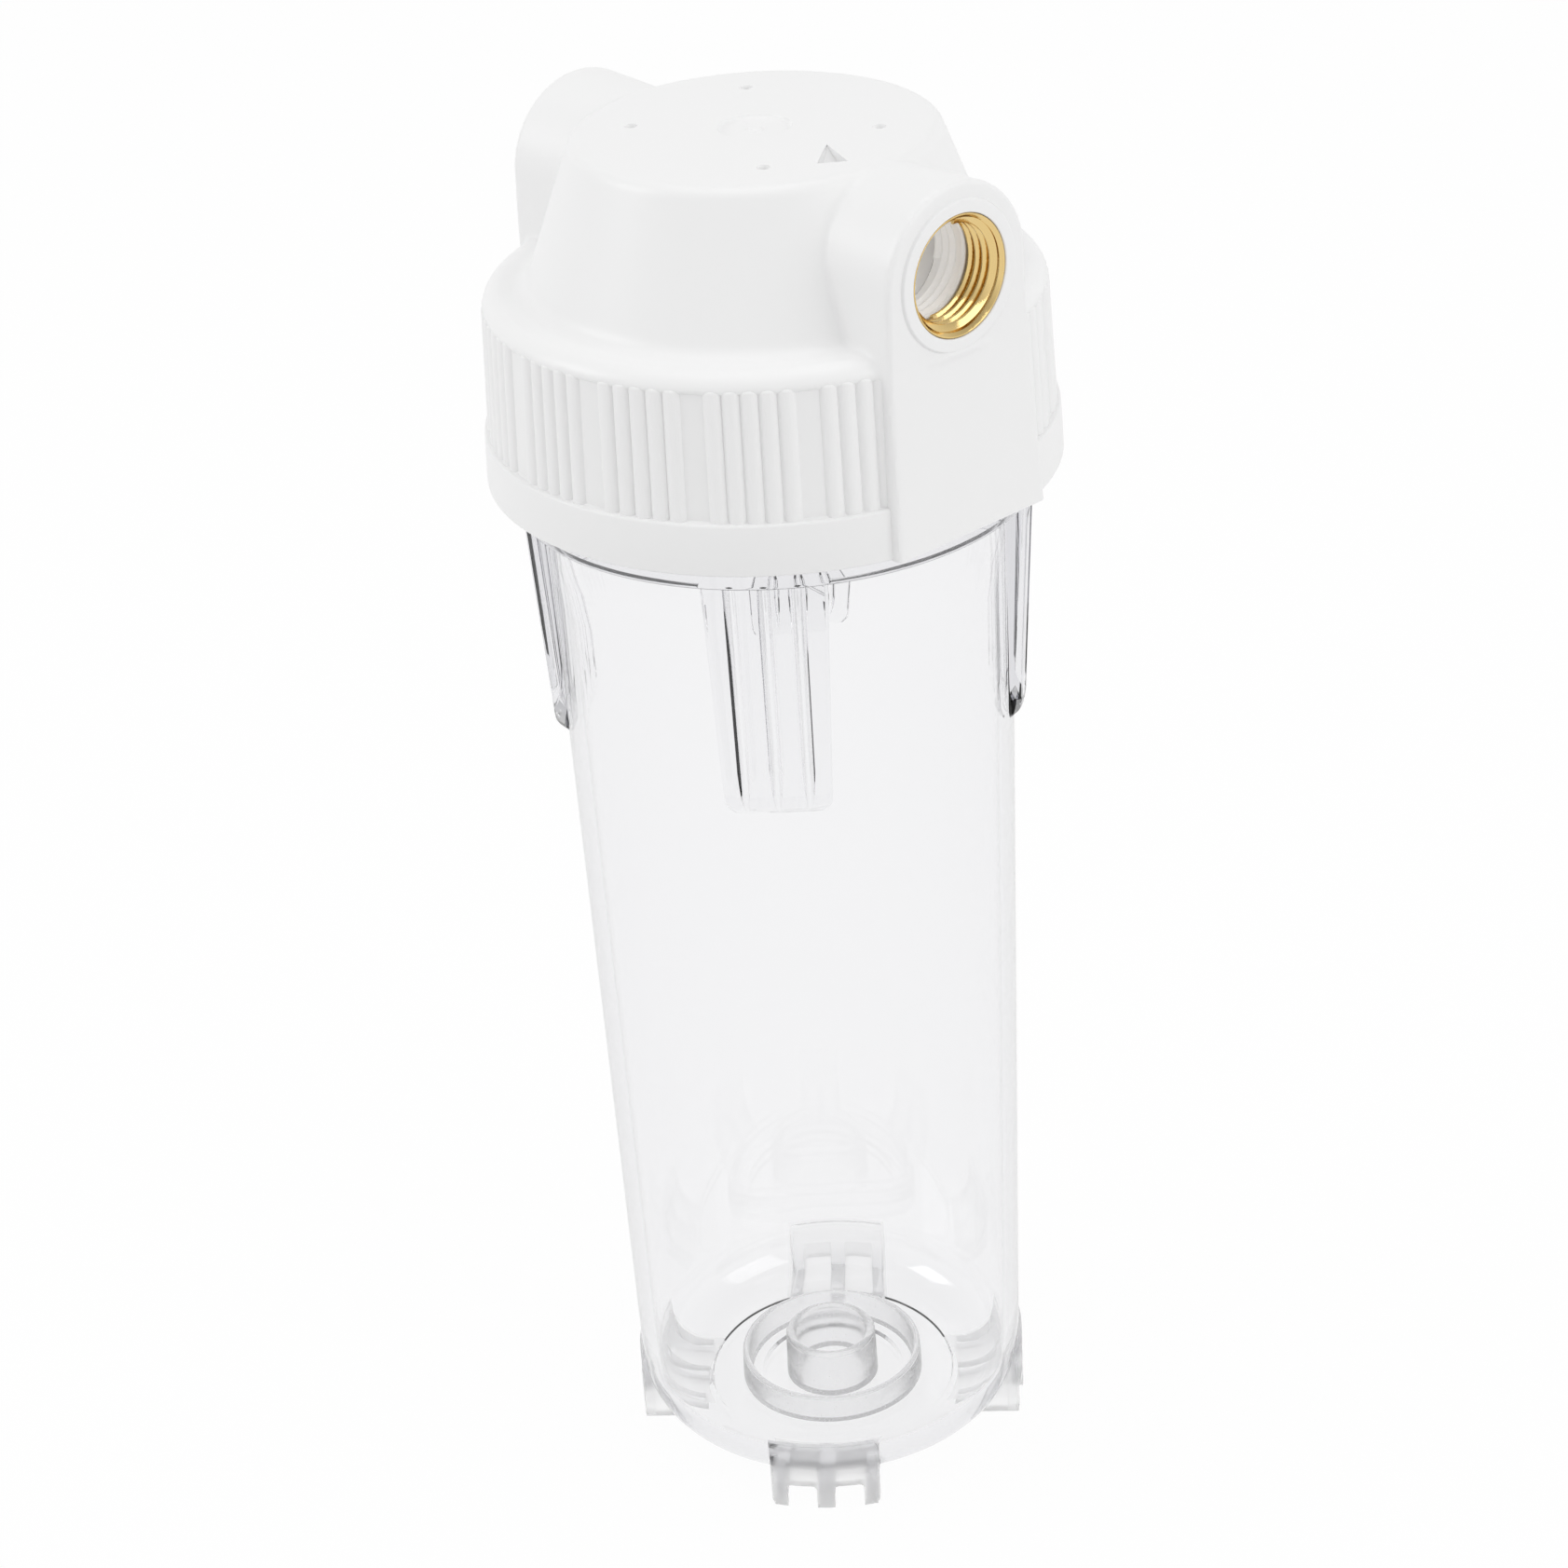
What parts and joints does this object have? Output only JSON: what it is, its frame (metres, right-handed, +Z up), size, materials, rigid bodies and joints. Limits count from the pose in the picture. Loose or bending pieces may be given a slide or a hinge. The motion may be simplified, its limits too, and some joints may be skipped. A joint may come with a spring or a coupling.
{
  "type": "water filter housing",
  "caption": "Upright water filter housing: a clear tapered bowl with fluted grips and feet, screwed into a white knurled head with opposite brass-lined side ports",
  "frame": {"origin": "on the bowl's axis, at the level of the undersides of its feet", "axes": "+Z up the bowl's axis; the ports lie along X, the inlet at -X and the outlet at +X"},
  "size_m": [0.1106, 0.1128, 0.2962],
  "materials": {
    "clear_plastic": "clear moulded plastic, polished",
    "black_rubber": "matt",
    "white_plastic": "satin moulded",
    "brass": "bright machined"
  },
  "bodies": {
    "bowl": {"bowl": "clear_plastic"},
    "seal": {"o_ring": "black_rubber"},
    "head": {"head": "white_plastic", "inlet_insert": "brass", "outlet_insert": "brass"}
  },
  "joints": [
    {"name": "head_turn", "type": "hinge", "parent": "bowl", "child": "seal", "pos_m": [0, 0, 0.2548], "axis": [0, 0, 1], "range_deg": [0, 720]},
    {"name": "head_lift", "type": "slide", "parent": "seal", "child": "head", "axis": [0, 0, 1], "range_m": [0, 0.01201]}
  ],
  "couplings": [
    {"joint": "head_lift", "follows": "head_turn", "m_per_rad": 0.00095493}
  ]
}
